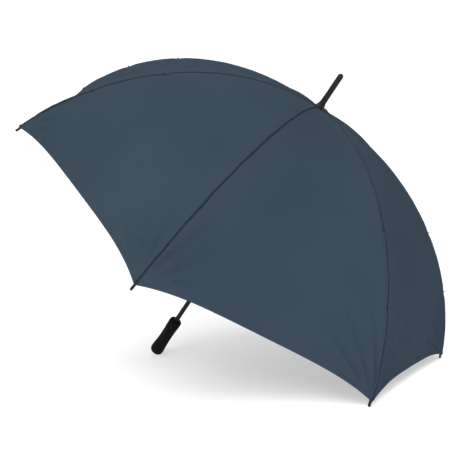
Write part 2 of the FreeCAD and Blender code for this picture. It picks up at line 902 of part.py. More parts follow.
def cloth_solid(rows, columns, first, last, half_span, lift, thickness, inset):
    """A closed thin solid that follows a panel between two distances down the ribs."""

    def face_at(height):
        grid = []
        for row in range(rows):
            share = row / (rows - 1)
            line = []
            for column in range(columns):
                place = 2 * column / (columns - 1) - 1
                sideways = half_span(first + (last(place) - first) * share) * place
                along = first + (last(place) - first) * share
                line.append(cloth_point(along, sideways, height, inset))
            grid.append(line)
        surface = Part.BSplineSurface()
        surface.interpolate(grid)
        return surface.toShape()

    upper, lower = face_at(lift), face_at(lift - thickness)
    sides = [Part.makeRuledSurface(a, b) for a, b in zip(upper.Edges, lower.Edges)]
    shell = Part.makeShell([upper, lower] + sides)
    shell.sewShape()
    solid = Part.makeSolid(shell)
    if solid.Volume < 0:
        solid.reverse()
    return solid


def make_canopy_panel(number):
    panel = document.addObject("Part::Feature", f"canopy_panel_{number}")
    panel.Label = f"canopy_panel_{number}"
    panel.Shape = cloth_solid(
        CLOTH_ROWS,
        CLOTH_COLUMNS,
        cell["cloth_hole"].value / math.cos(math.radians(half_step.value)),
        hem_along,
        lambda along: 1.0,
        0.0,
        cell["cloth_thickness"].value,
        cell["seam_gap"].value,
    )
    keep(panel, Placement(Vector(), Rotation(Vector(0, 0, 1), panel_azimuth(number))))


def make_tie_strap():
    """Cloth strap that wraps the furled canopy, lying along the middle of a rear panel."""
    strap = document.addObject("Part::Feature", "tie_strap")
    strap.Label = "tie_strap"
    half_width = cell["strap_width"].value / 2
    spread = math.sin(math.radians(half_step.value))

    def share_of_panel(along):
        slope = along / cell["dome_radius"].value - math.radians(cell["crown_rise"].value)
        reach = arc_centre_reach.value + cell["dome_radius"].value * math.sin(slope)
        return half_width / (reach * spread)

    thickness = cell["strap_thickness"].value
    strap.Shape = cloth_solid(
        STRAP_ROWS,
        STRAP_COLUMNS,
        cell["strap_from"].value,
        lambda place: cell["strap_to"].value,
        share_of_panel,
        cell["strap_lift"].value + thickness,
        thickness,
        0.0,
    )
    turn = panel_azimuth(int(cell["strap_panel"].value))
    keep(strap, Placement(Vector(), Rotation(Vector(0, 0, 1), turn)))


# ---------------------------------------------------------------- assembly


def stand_on_floor():
    """Tip the umbrella to its resting lean, with the origin under the middle of its box."""
    lean = Placement(Vector(), Rotation(Vector(0, 1, 0), tilt))
    for piece, placement in pieces:
        piece.Placement = lean * placement
    document.recompute()
    box = FreeCAD.BoundBox()
    for piece, _ in pieces:
        box.add(piece.Shape.optimalBoundingBox(False, False))
    floor = Placement(Vector(-box.Center.x, -box.Center.y, -box.ZMin), Rotation()) * lean
    for piece, placement in pieces:
        piece.Placement = floor * placement
    document.recompute()
    return floor


def build():
    make_shaft()
    make_ferrule()
    make_crown_patch()
    make_top_notch()
    make_wire("notch_wire", notch_pivot[1])
    make_stop_collar()
    make_runner()
    make_wire("runner_wire", runner_height)
    make_runner_button()
    make_handle_grip()
    make_handle_end_cap()
    for number in range(1, int(cell["rib_count"].value) + 1):
        make_inner_rib(number)
        make_joint_bracket(number)
        make_outer_rib(number)
        make_rib_tip(number)
        make_stretcher(number)
        make_canopy_panel(number)
    make_tie_strap()
    return stand_on_floor()


def check_and_export():
    for item in document.Objects:
        if "Invalid" in item.State or "Error" in item.State:
            raise RuntimeError(f"{item.Label} did not compute: {item.State}")
    for piece, _ in pieces:
        if piece.Shape.isNull() or not piece.Shape.isValid() or piece.Shape.Volume <= 0:
            raise RuntimeError(f"{piece.Label} has no valid solid")
    os.makedirs("parts", exist_ok=True)
    for piece, _ in pieces:
        piece.Shape.exportStep(f"parts/{piece.Label}.step")


standing = build()
check_and_export()
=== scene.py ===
"""Looks of the golf umbrella: sewn canopy, seams, hems, ties, crown patch, strap and foam grip.

Metres and radians; the two outline lists are in millimetres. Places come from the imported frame: the
shaft's mount gives its axis, and the ribs' joints give the hub and the direction of every rib. The
cloth then follows the same dome as the canopy's CAD panels.
"""

import json
import math

import bpy
import numpy as np
from mathutils import Matrix, Vector, noise


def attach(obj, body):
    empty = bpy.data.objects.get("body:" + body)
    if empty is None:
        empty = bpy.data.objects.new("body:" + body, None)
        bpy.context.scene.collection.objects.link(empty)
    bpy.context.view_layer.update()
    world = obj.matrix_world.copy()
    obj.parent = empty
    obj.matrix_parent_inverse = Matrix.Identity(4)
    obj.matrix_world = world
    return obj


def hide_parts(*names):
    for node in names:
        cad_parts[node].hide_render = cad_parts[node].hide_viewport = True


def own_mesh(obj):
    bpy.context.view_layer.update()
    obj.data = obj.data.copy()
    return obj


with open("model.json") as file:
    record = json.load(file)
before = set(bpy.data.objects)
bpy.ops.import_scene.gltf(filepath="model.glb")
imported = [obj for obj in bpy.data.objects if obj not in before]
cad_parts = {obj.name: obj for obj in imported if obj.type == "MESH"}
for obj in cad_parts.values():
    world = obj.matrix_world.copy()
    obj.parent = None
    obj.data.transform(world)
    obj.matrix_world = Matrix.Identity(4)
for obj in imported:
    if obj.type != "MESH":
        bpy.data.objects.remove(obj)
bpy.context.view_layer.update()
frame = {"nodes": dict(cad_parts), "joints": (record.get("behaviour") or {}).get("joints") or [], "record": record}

MM = 0.001
DEGREE = math.pi / 180

# ------------------------------------------------------------------ the umbrella's axes

RIB_COUNT = 8
RIBS = range(1, RIB_COUNT + 1)
SIDES = (1, -1)
HALF_STEP = math.pi / RIB_COUNT
PIVOT_DROP = 9.0 * MM

JOINTS = {joint["name"]: joint for joint in frame["joints"]}
MOUNTS = {mount["name"]: mount for mount in frame["record"]["mounts"]}

UP = Vector(MOUNTS["shaft"]["axis"]).normalized()


def pivot(name):
    return Vector(JOINTS[name]["pos_m"])


HUB = sum((pivot(f"rib_{rib}_fold") for rib in RIBS), Vector()) / RIB_COUNT
CROWN = HUB + UP * PIVOT_DROP


def outward(rib):
    """Direction from the shaft towards a rib, square to the shaft."""
    arm = pivot(f"rib_{rib}_flex") - CROWN
    return (arm - UP * arm.dot(UP)).normalized()


OUT = {rib: outward(rib) for rib in RIBS}
ACROSS = {rib: UP.cross(OUT[rib]) for rib in RIBS}

# ------------------------------------------------------------------ the cloth's dome

DOME_RADIUS = 660.0 * MM
CROWN_RISE = 4.4 * DEGREE
ARC_REACH = DOME_RADIUS * math.sin(CROWN_RISE)
ARC_HEIGHT = -DOME_RADIUS * math.cos(CROWN_RISE)
HOLLOW = 0.015
CLOTH_HOLE = 8.1 * MM
CORNER_ALONG = 749.4 * MM
HEM_RISE = 17.8 * MM
HEM_POWER = 4.1
CLOTH_THICKNESS = 0.4 * MM
HEM_WIDTH = 8.0 * MM
HEM_STEP = 0.35 * MM
HEM_ROWS = (1.12, 1.0, 0.5, 0.0)
HEM_CLEAR = 1.6
HEM_RAMP = 0.1
HEM_OUTER_STEP = 0.3 * HEM_STEP

ROWS = {"upper": 44, "lower": 84}
COLUMNS = 34
COLUMN_POWER = 1.7


def slope_at(along):
    return along / DOME_RADIUS - CROWN_RISE


def half_chord_at(along):
    return (ARC_REACH + DOME_RADIUS * np.sin(slope_at(along))) * math.sin(HALF_STEP)


def panel_axes(rib, side):
    """Level directions of a panel's middle line and, square to it, from the rib to that line."""
    middle = OUT[rib] * math.cos(HALF_STEP) + ACROSS[rib] * (side * math.sin(HALF_STEP))
    towards = ACROSS[rib] * (side * math.cos(HALF_STEP)) - OUT[rib] * math.sin(HALF_STEP)
    return middle, towards


def dome_point(rib, side, along, share, lift):
    """Points over the half panel beside a rib, from share 0 at the rib to 1 at the panel's middle.

    along is the distance down the rib, and lift the height above the cloth's outer face.
    """
    slope = slope_at(along)
    reach = ARC_REACH + DOME_RADIUS * np.sin(slope)
    half_chord = reach * math.sin(HALF_STEP)
    sideways = 1 - share
    out = lift - 2 * HOLLOW * half_chord * (1 - sideways**2)
    middle, towards = panel_axes(rib, side)
    ahead = reach * math.cos(HALF_STEP) + out * np.sin(slope)
    height = ARC_HEIGHT + DOME_RADIUS * np.cos(slope) + out * np.cos(slope)
    return (
        np.array(CROWN)
        + ahead[..., None] * np.array(middle)
        - (half_chord * sideways)[..., None] * np.array(towards)
        + height[..., None] * np.array(UP)
    )


def hem_along(share):
    return CORNER_ALONG - HEM_RISE * (1 - (1 - share) ** HEM_POWER)


def along_of(point):
    """Distance down the rib at which a point of the rib's line lies."""
    arm = point - CROWN
    height = arm.dot(UP)
    reach = (arm - UP * height).length
    return (math.atan2(reach - ARC_REACH, height - ARC_HEIGHT) + CROWN_RISE) * DOME_RADIUS


FLEX_ALONG = along_of(pivot("rib_1_flex"))
FLEX_LEAN = math.sin(HALF_STEP) * math.cos(slope_at(FLEX_ALONG))


def flex_line(share):
    """Where the cloth that rides the inner rib ends: square to the rib at its flex joint."""
    reach = half_chord_at(FLEX_ALONG)
    return FLEX_ALONG + FLEX_LEAN * share * reach / (1 - FLEX_LEAN**2 * share)


# ------------------------------------------------------------------ materials

CLOTH_COLOUR = (0.0295, 0.0437, 0.0605)
BLACK = (0.006, 0.006, 0.0064)
MATT_IOR = 1.04
MATT_LEVEL = 0.1
POLISH_IOR = 1.3
POLISH_LEVEL = 0.4
WEAVE_SCALE = 330.0
WEAVE_WOBBLE = 0.4
SLUB_FINE = 900.0
SLUB_LONG = 18.0
# Widths of the painted shade beside the seam and along the hem.
SEAM_SHADE_WIDTH = 4.0 * MM
HEM_SHADE_WIDTH = 1.5 * MM
HEM_STITCH_SCALE = 3.2 / (2.0 * math.pi * 3.0 * MM)
HEM_STITCH_PLACE = 0.85 * HEM_WIDTH
SEAM_STITCH_SCALE = 85.0
SEAM_STITCH_PLACE = -3.4 * MM
# Painted shade along the seam strip's crease: its middle, then the widths where it is full and where it ends.
SEAM_CREASE_MIDDLE = 0.7 * MM
SEAM_SHADE_FULL = 1.5 * MM
SEAM_SHADE_END = 2.6 * MM

# The floor glows a little, more with distance, so that only the umbrella's surroundings show shade.
FLOOR_GREY = (0.5, 0.5, 0.5)
FLOOR_TONES = ((0.495, 0.495, 0.5), (0.505, 0.505, 0.505))
FLOOR_DIM_WITHIN = 1.1
FLOOR_LIFTED_FROM = 2.8
FLOOR_DIM = 0.36
FLOOR_LIFT = 0.6
WHITE = (1.0, 1.0, 1.0)


def rgb(colour):
    return (*colour, 1.0)


class Nodes:
    """A material under construction, with short names for the nodes it uses."""

    def __init__(self, name, colour, roughness, **constants):
        self.material = bpy.data.materials.new(name)
        self.material.use_nodes = True
        self.material.diffuse_color = rgb(colour)
        self.tree = self.material.node_tree
        self.shader = self.tree.nodes["Principled BSDF"]
        self.shader.inputs["Base Color"].default_value = rgb(colour)
        self.shader.inputs["Roughness"].default_value = roughness
        for socket, value in constants.items():
            self.shader.inputs[socket.replace("_", " ")].default_value = value

    def add(self, kind, **settings):
        node = self.tree.nodes.new(f"ShaderNode{kind}")
        for name, value in settings.items():
            setattr(node, name, value)
        return node

    def link(self, output, node, socket):
        self.tree.links.new(output, node.inputs[socket])

    def position(self):
        """The piece's own coordinates, in metres."""
        return self.add("TexCoord").outputs["Object"]

    def along_uv(self, layer, stretch=(1, 1, 1)):
        """A UV layer's coordinates, in metres, stretched along their axes."""
        place = self.add("UVMap", uv_map=layer)
        mapping = self.add("Mapping")
        mapping.inputs["Scale"].default_value = stretch
        self.link(place.outputs["UV"], mapping, "Vector")
        return mapping.outputs["Vector"]

    def noise(self, vector, scale, detail=3.0, roughness=0.5):
        node = self.add("TexNoise")
        node.inputs["Scale"].default_value = scale
        node.inputs["Detail"].default_value = detail
        node.inputs["Roughness"].default_value = roughness
        self.link(vector, node, "Vector")
        return node.outputs["Fac"]

    def cells(self, vector, scale):
        node = self.add("TexVoronoi")
        node.inputs["Scale"].default_value = scale
        self.link(vector, node, "Vector")
        return node.outputs["Distance"]

    def waves(self, vector, scale, direction, distortion=0.0):
        node = self.add("TexWave", wave_type="BANDS", bands_direction=direction)
        node.inputs["Scale"].default_value = scale
        node.inputs["Distortion"].default_value = distortion
        self.link(vector, node, "Vector")
        return node.outputs["Fac"]

    def math(self, operation, first, second):
        node = self.add("Math", operation=operation)
        for index, value in enumerate((first, second)):
            if isinstance(value, (int, float)):
                node.inputs[index].default_value = value
            else:
                self.tree.links.new(value, node.inputs[index])
        return node.outputs["Value"]

    def spread(self, value, low, high, to_low=0.0, to_high=1.0):
        """A value carried smoothly from the range low to high into the range to_low to to_high."""
        node = self.add("MapRange", interpolation_type="SMOOTHSTEP")
        for socket, number in (
            ("From Min", low), ("From Max", high), ("To Min", to_low), ("To Max", to_high)
        ):
            node.inputs[socket].default_value = number
        self.link(value, node, "Value")
        return node.outputs["Result"]

    def mix(self, share, first, second):
        """Colour between two colours; a share, colour or output may be given for each."""
        node = self.add("Mix", data_type="RGBA")
        sockets = (node.inputs[0], node.inputs[6], node.inputs[7])
        for socket, value in zip(sockets, (share, first, second)):
            if isinstance(value, (int, float)):
                socket.default_value = value
            elif isinstance(value, tuple):
                socket.default_value = rgb(value)
            else:
                self.tree.links.new(value, socket)
        return node.outputs[2]

    def colour(self, output):
        self.link(output, self.shader, "Base Color")

    def rough(self, output):
        self.link(output, self.shader, "Roughness")

    def bump(self, height, strength, distance, below=None):
        node = self.add("Bump")
        node.inputs["Strength"].default_value = strength
        node.inputs["Distance"].default_value = distance
        self.link(height, node, "Height")
        if below is not None:
            self.link(below, node, "Normal")
        self.link(node.outputs["Normal"], self.shader, "Normal")
        return node.outputs["Normal"]


def shade(colour, factor):
    return tuple(value * factor for value in colour)


def cloth_material(name, colour):
    """Pongee: a fine plain weave with slubs and soft mottling, stitch rows beside the edges, and painted shade
    beside the seam and along the hem.

    The weave layer holds metres across and along the panel. The edges layer holds the distances
    from the seam and from the hem.
    """
    made = Nodes(name, colour, 0.66, IOR=MATT_IOR, Specular_IOR_Level=MATT_LEVEL)
    weave = made.along_uv("weave")
    warp = made.waves(weave, WEAVE_SCALE, "X", WEAVE_WOBBLE)
    weft = made.waves(weave, WEAVE_SCALE, "Y", WEAVE_WOBBLE)
    threads = made.math("MULTIPLY", warp, weft)
    slubs_warp = made.noise(made.along_uv("weave", (SLUB_FINE, SLUB_LONG, 1.0)), 1.0, 2.0)
    slubs_weft = made.noise(made.along_uv("weave", (SLUB_LONG, SLUB_FINE, 1.0)), 1.0, 2.0)
    slubs = made.math("ADD", slubs_warp, slubs_weft)
    place = made.position()
    broad = made.noise(place, 4.5, 4.0, 0.55)
    fine = made.noise(place, 60.0, 3.0)
    base = made.mix(made.spread(broad, 0.3, 0.7), shade(colour, 0.93), shade(colour, 1.07))
    flecked = made.mix(made.spread(slubs, 0.75, 1.25), shade(colour, 0.95), shade(colour, 1.06))
    tone = made.mix(0.18, base, flecked)
    edges = made.add("SeparateXYZ")
    made.link(made.along_uv("edges"), edges, "Vector")
    seam, hem = edges.outputs["X"], edges.outputs["Y"]
    # Painted shade: the cloth darkens within a few millimetres of the seam and of the hem's edge.
    painted_seam_shade = made.spread(seam, 0.0, SEAM_SHADE_WIDTH, 0.62, 1.0)
    painted_hem_shade = made.spread(hem, 0.0, HEM_SHADE_WIDTH, 0.8, 1.0)
    painted_shade = made.math("MULTIPLY", painted_seam_shade, painted_hem_shade)
    made.colour(made.mix(painted_shade, shade(colour, 0.45), tone))
    made.rough(made.spread(fine, 0.3, 0.7, 0.56, 0.68))
    row = made.math("ABSOLUTE", made.math("SUBTRACT", hem, HEM_STITCH_PLACE), 0.0)
    line = made.spread(row, 0.0, 0.5 * MM, 1.0, 0.0)
    dashes = made.waves(weave, HEM_STITCH_SCALE, "X")
    stitches = made.math("MULTIPLY", line, made.spread(dashes, 0.35, 0.5))
    lower = made.bump(stitches, 0.6, 0.4 * MM, made.bump(threads, 0.08, 0.1 * MM))
    made.bump(slubs, 0.05, 0.2 * MM, lower)
    return made.material


def seam_material(name, colour):
    """The folded seam strip: the same cloth, with a row of stitches and painted shade along its crease."""
    made = Nodes(name, colour, 0.6, IOR=MATT_IOR, Specular_IOR_Level=MATT_LEVEL)
    broad = made.noise(made.position(), 14.0, 4.0)
    places = made.along_uv("edges")
    edges = made.add("SeparateXYZ")
    made.link(places, edges, "Vector")
    across = edges.outputs["X"]
    dashes = made.waves(places, SEAM_STITCH_SCALE, "Y")
    offset = made.math("ABSOLUTE", made.math("SUBTRACT", across, SEAM_STITCH_PLACE), 0.0)
    line = made.spread(offset, 0.0, 0.55 * MM, 1.0, 0.0)
    stitches = made.math("MULTIPLY", line, made.spread(dashes, 0.3, 0.5))
    base = made.mix(made.spread(broad, 0.3, 0.7), shade(colour, 0.98), shade(colour, 1.12))
    stitched = made.mix(stitches, base, shade(colour, 0.7))
    # Painted shade: a dark line along the seam's crease.
    crease = made.math("ABSOLUTE", made.math("SUBTRACT", across, SEAM_CREASE_MIDDLE), 0.0)
    painted_crease_shade = made.spread(crease, SEAM_SHADE_FULL, SEAM_SHADE_END, 0.9, 0.0)
    made.colour(made.mix(painted_crease_shade, stitched, shade(colour, 0.42)))
    threads = made.waves(places, WEAVE_SCALE, "Y", WEAVE_WOBBLE)
    lower = made.bump(threads, 0.2, 0.12 * MM)
    made.bump(stitches, 0.7, 0.4 * MM, lower)
    return made.material


def moulded_plastic(name, colour, roughness):
    """Injection-moulded plastic with a fine spark-eroded grain and slight polish."""
    made = Nodes(name, colour, roughness, IOR=POLISH_IOR, Specular_IOR_Level=POLISH_LEVEL)
    place = made.position()
    grain = made.noise(place, 1400.0, 4.0, 0.65)
    broad = made.noise(place, 45.0, 4.0)
    made.colour(made.mix(made.spread(broad, 0.35, 0.7), shade(colour, 0.85), shade(colour, 1.35)))
    made.rough(made.spread(broad, 0.3, 0.75, roughness - 0.06, roughness + 0.1))
    made.bump(grain, 0.25, 0.08 * MM)
    return made.material


def painted_metal(name, colour, roughness):
    """Satin paint with slight orange peel and faint rubbed patches."""
    made = Nodes(name, colour, roughness, IOR=POLISH_IOR, Specular_IOR_Level=POLISH_LEVEL)
    place = made.position()
    peel = made.noise(place, 420.0, 3.0)
    rubbed = made.noise(place, 30.0, 5.0, 0.6)
    made.colour(made.mix(made.spread(rubbed, 0.55, 0.8), colour, shade(colour, 1.7)))
    made.rough(made.spread(rubbed, 0.35, 0.75, roughness, roughness + 0.14))
    made.bump(peel, 0.12, 0.05 * MM)
    return made.material


def fibre_rod(name, colour):
    """Pultruded fibreglass: satin black with faint streaks in the resin."""
    made = Nodes(name, colour, 0.38, Specular_IOR_Level=0.5)
    place = made.position()
    streaks = made.noise(place, 260.0, 5.0, 0.7)
    broad = made.noise(place, 18.0, 3.0)
    made.colour(made.mix(made.spread(streaks, 0.45, 0.7), colour, shade(colour, 1.8)))
    made.rough(made.spread(broad, 0.3, 0.7, 0.32, 0.48))
    made.bump(streaks, 0.15, 0.05 * MM)
    return made.material


def drawn_wire(name, colour):
    """Bare steel wire with fine marks from its drawing."""
    made = Nodes(name, colour, 0.3, Metallic=1.0)
    streaks = made.noise(made.position(), 900.0, 4.0)
    made.rough(made.spread(streaks, 0.3, 0.7, 0.22, 0.42))
    made.bump(streaks, 0.1, 0.03 * MM)
    return made.material


def closed_cell_foam(name, colour):
    """EVA foam: dead matt, mottled, with small closed cells at the skin."""
    made = Nodes(name, colour, 0.88, Specular_IOR_Level=0.06, Sheen_Weight=0.008)
    place = made.position()
    cells = made.cells(place, 900.0)
    coarse = made.cells(place, 330.0)
    mottle = made.noise(place, 120.0, 5.0, 0.7)
    made.colour(made.mix(made.spread(mottle, 0.35, 0.68), shade(colour, 0.7), shade(colour, 1.7)))
    made.rough(made.spread(mottle, 0.3, 0.7, 0.8, 0.93))
    lower = made.bump(cells, 0.5, 0.12 * MM)
    made.bump(coarse, 0.35, 0.2 * MM, lower)
    return made.material


def sewing_thread(name, colour):
    """Twisted thread, its turns darker between the strands: painted shade."""
    made = Nodes(name, colour, 0.75, Specular_IOR_Level=MATT_LEVEL)
    twist = made.waves(made.position(), 700.0, "DIAGONAL")
    # Painted shade between the strands, lighter on them.
    made.colour(made.mix(twist, shade(colour, 0.6), shade(colour, 1.3)))
    made.bump(twist, 0.4, 0.1 * MM)
    return made.material


def floor_material():
    """Seamless white paper, lifted towards the walls so that the backdrop stays white."""
    made = Nodes("studio_floor", FLOOR_GREY, 0.8, Specular_IOR_Level=0.05)
    place = made.position()
    length = made.add("VectorMath", operation="LENGTH")
    made.link(place, length, 0)
    away = length.outputs["Value"]
    lift = made.spread(away, FLOOR_DIM_WITHIN, FLOOR_LIFTED_FROM, FLOOR_DIM, FLOOR_LIFT)
    made.shader.inputs["Emission Color"].default_value = rgb(WHITE)
    made.link(lift, made.shader, "Emission Strength")
    grain = made.noise(place, 3.0, 3.0)
    made.colour(made.mix(made.spread(grain, 0.3, 0.7), *FLOOR_TONES))
    return made.material


CLOTH = cloth_material("slate_pongee", CLOTH_COLOUR)
SEAM = seam_material("slate_seam", CLOTH_COLOUR)
THREAD = sewing_thread("navy_thread", shade(CLOTH_COLOUR, 0.5))
PLASTIC = moulded_plastic("black_moulding", BLACK, 0.45)
PAINT = painted_metal("satin_black_paint", BLACK, 0.4)
ENAMEL = painted_metal("stretcher_enamel", (0.014, 0.014, 0.015), 0.32)
FIBRE = fibre_rod("fibreglass_rod", (0.012, 0.012, 0.013))
WIRE = drawn_wire("drawn_steel", (0.5, 0.5, 0.52))
FOAM = closed_cell_foam("grip_foam", (0.0055, 0.0055, 0.0058))

# ------------------------------------------------------------------ building meshes

SHARP_FROM = 35 * DEGREE


def new_piece(name, points, faces, material, layers=None):
    """A smooth-shaded mesh piece; layers maps a UV layer's name to one pair per point."""
    mesh = bpy.data.meshes.new(name)
    mesh.from_pydata([tuple(point) for point in points], [], faces)
    mesh.validate()
    corners = np.zeros(len(mesh.loops), np.int32)
    mesh.loops.foreach_get("vertex_index", corners)
    for layer, pairs in (layers or {}).items():
        target = mesh.uv_layers.new(name=layer)
        target.data.foreach_set("uv", np.asarray(pairs, np.float32)[corners].ravel())
    mesh.polygons.foreach_set("use_smooth", [True] * len(mesh.polygons))
    mesh.set_sharp_from_angle(angle=SHARP_FROM)
    mesh.materials.append(material)
    piece = bpy.data.objects.new(name, mesh)
    bpy.context.scene.collection.objects.link(piece)
    return piece


def shell_faces(rows, columns, flip, ring=False):
    """Faces of a closed thin shell whose outer grid of points is followed by its inner grid.

    A ring's last column joins its first.
    """
    faces = []
    layer = rows * columns

    def quad(a, b, c, d):
        faces.append((d, c, b, a) if flip else (a, b, c, d))

    def at(row, column):
        return row * columns + column % columns

    spans = range(columns if ring else columns - 1)
    for row in range(rows - 1):
        for column in spans:
            a, b = at(row, column), at(row, column + 1)
            c, d = at(row + 1, column + 1), at(row + 1, column)
            quad(a, b, c, d)
            quad(layer + d, layer + c, layer + b, layer + a)
    for column in spans:
        a, b = at(0, column), at(0, column + 1)
        quad(layer + a, layer + b, b, a)
        a, b = at(rows - 1, column), at(rows - 1, column + 1)
        quad(a, b, layer + b, layer + a)
    if ring:
        return faces
    for row in range(rows - 1):
        a, b = at(row, 0), at(row + 1, 0)
        quad(a, b, layer + b, layer + a)
        a, b = at(row, columns - 1), at(row + 1, columns - 1)
        quad(layer + a, layer + b, b, a)
    return faces


def shell_piece(name, outer, inner, material, layers, flip, ring=False):
    """A thin shell between two grids of points; its UV layers are the same on both faces."""
    rows, columns = outer.shape[:2]
    points = np.concatenate([outer.reshape(-1, 3), inner.reshape(-1, 3)])
    doubled = {
        layer: np.concatenate([pairs.reshape(-1, 2)] * 2) for layer, pairs in layers.items()
    }
    faces = shell_faces(rows, columns, flip, ring)
    return new_piece(name, points, faces, material, doubled)


def tube_faces(rows, columns, first=0):
    """Faces of a grid of points that closes on itself both ways."""
    faces = []
    for row in range(rows):
        here, below = first + row * columns, first + (row + 1) % rows * columns
        for column in range(columns):
            after = (column + 1) % columns
            faces.append((here + column, here + after, below + after, below + column))
    return faces


# ------------------------------------------------------------------ the canopy's cloth

TIP_FAN_REACH = 270.0 * MM
TIP_FAN_HEIGHT = 3.2 * MM
TIP_FAN_START = 15.0 * MM
TIP_FAN_RISE = 60.0 * MM
TIP_FAN_FADE = 1.3
TIP_FAN_TURNS = (17, 33)
SEAM_DIP = 0.9 * MM
SEAM_DIP_WIDTH = 3.5 * MM
SEAM_HELD_WIDTH = 6.0 * MM
PUCKER = 0.8 * MM
PUCKER_LENGTH = 13.0 * MM
PUCKER_WIDTH = 20.0 * MM
SWAY = 1.3 * MM
SWAY_FROM_SEAM = 22.0 * MM
HEM_FLUTTER = 0.5 * MM
HEM_FLUTTER_WIDTH = 16.0 * MM
SAG = 5.0 * MM
TIE_PLACES = {"near": 420.0 * MM, "far": 577.0 * MM, "corner": 744.5 * MM}
TIE_DIMPLE = 1.5 * MM
TIE_DIMPLE_LENGTH = 11.0 * MM
TIE_DIMPLE_WIDTH = 24.0 * MM


def ripple(points, scale, seed):
    """Smooth noise from -1 to 1 at each point, the same in every run."""
    flat = points.reshape(-1, 3) * scale
    values = [noise.noise(Vector(point) + Vector((seed, seed, seed))) for point in flat]
    return np.array(values).reshape(points.shape[:-1])


def sag_at(along, share):
    """How far the taut cloth hollows between the ribs, beyond the dome's own hollow."""
    return -SAG * np.sin(math.pi * along / CORNER_ALONG) * (1 - (1 - share) ** 2)


def tie_dimple(along):
    """How far the two ties along the rib pull the seam down towards it."""
    places = (TIE_PLACES["near"], TIE_PLACES["far"])
    pull = sum(np.exp(-(((along - place) / TIE_DIMPLE_LENGTH) ** 2)) for place in places)
    return -TIE_DIMPLE * pull


def tip_fan(distance, before_tip, seed):
    """Fine folds that spread from the rib's tip and fade out up the panel."""
    reach = np.hypot(distance, before_tip)
    angle = np.arctan2(distance, np.maximum(before_tip, 1e-6))
    rise = np.clip((reach - TIP_FAN_START) / TIP_FAN_RISE, 0, 1)
    fade = np.clip(1 - reach / TIP_FAN_REACH, 0, 1) ** TIP_FAN_FADE
    beside_seam = np.clip(angle / (8 * DEGREE), 0, 1)
    beside_hem = np.clip((82 * DEGREE - angle) / (12 * DEGREE), 0, 1)
    coarse, fine = TIP_FAN_TURNS
    folds = np.sin(angle * coarse + seed) + 0.6 * np.sin(angle * fine + 2.3 * seed + 1)
    return TIP_FAN_HEIGHT * rise * fade * beside_seam * beside_hem * folds


def cloth_relief(rib, side, along, share, rest):
    """How far the cloth stands off its even dome, from wrinkles, puckers and its stitched seam."""
    distance = share * half_chord_at(along)
    before_tip = CORNER_ALONG - along
    settled = 1 - np.exp(-distance / SWAY_FROM_SEAM)
    sway = SWAY * ripple(rest, 7.0, 3.1) + 0.35 * SWAY * ripple(rest, 19.0, 8.4)
    pucker = PUCKER * ripple(rest, 1 / PUCKER_LENGTH, 5.7) * np.exp(-distance / PUCKER_WIDTH)
    dip = -SEAM_DIP * np.exp(-((distance / SEAM_DIP_WIDTH) ** 2))
    edge = hem_along(share) - along
    flutter = HEM_FLUTTER * ripple(rest, 24.0, 1.9) * np.exp(-edge / HEM_FLUTTER_WIDTH)
    seed = rib * 2.4 + (0.9 if side > 0 else 0.0)
    loose = np.clip(distance / SEAM_HELD_WIDTH, 0, 1)
    dimple = tie_dimple(along) * np.exp(-((distance / TIE_DIMPLE_WIDTH) ** 2))
    even = sag_at(along, share) + dip + dimple + sway * settled
    return even + (pucker + flutter) * loose + tip_fan(distance, before_tip, seed)


def half_panel(rib, side, part):
    """Outer and inner points, and map layers, of the cloth beside one rib."""
    share = (np.arange(COLUMNS + 1) / COLUMNS) ** COLUMN_POWER
    down = np.arange(ROWS[part] + 1) / ROWS[part]
    if part == "upper":
        first, last = np.full_like(share, CLOTH_HOLE), flex_line(share)
    else:
        first, last = flex_line(share), hem_along(share)
        hem = HEM_WIDTH / float((last - first).mean())
        above_hem = down[down < 1 - HEM_CLEAR * hem]
        down = np.concatenate([above_hem, 1 - np.array(HEM_ROWS) * hem])
    along = first + (last - first) * down[:, None]
    share = np.broadcast_to(share, along.shape)
    rest = dome_point(rib, side, along, share, np.zeros_like(along))
    relief = cloth_relief(rib, side, along, share, rest)
    edge = hem_along(share) - along
    ramp = np.clip((HEM_WIDTH * (1 + HEM_RAMP) - edge) / (HEM_RAMP * HEM_WIDTH), 0, 1)
    hemmed = ramp * (part == "lower")
    outer = dome_point(rib, side, along, share, relief + HEM_OUTER_STEP * hemmed)
    under = relief - CLOTH_THICKNESS - HEM_STEP * hemmed
    inner = dome_point(rib, side, along, share, under)
    across = (1 - share) * half_chord_at(along) * side
    layers = {
        "weave": np.stack([across, along], axis=-1),
        "edges": np.stack([share * half_chord_at(along), edge], axis=-1),
    }
    return outer, inner, layers


BODY_OF = {"upper": "inner_rib", "lower": "outer_rib"}


def fold_onto_rib(piece):
    """Gives the piece a mesh of its own."""
    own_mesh(piece)


def make_cloth(rib, side, part):
    """The cloth on one side of a rib, above or below the rib's flex joint."""
    outer, inner, layers = half_panel(rib, side, part)
    hand = "left" if side > 0 else "right"
    piece = shell_piece(f"cloth_{rib}_{hand}_{part}", outer, inner, CLOTH, layers, side < 0)
    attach(piece, f"{BODY_OF[part]}_{rib}")
    fold_onto_rib(piece)


# ------------------------------------------------------------------ seams along the ribs

SEAM_PROFILE = [
    (-5.2, -0.5), (-5.0, 0.3), (-4.2, 0.6), (-2.6, 0.65), (-1.5, 0.5), (-0.7, -0.2),
    (0.0, -0.5), (0.8, -0.5), (1.8, -0.1), (2.8, 0.2), (3.4, -0.5),
]
SEAM_UNDER = -1.35
SEAM_NARROWER = 0.94
SEAM_PITCH = 7.0 * MM
SEAM_START = 16.0 * MM
SEAM_END = 4.0 * MM
SEAM_WANDER = 0.45 * MM


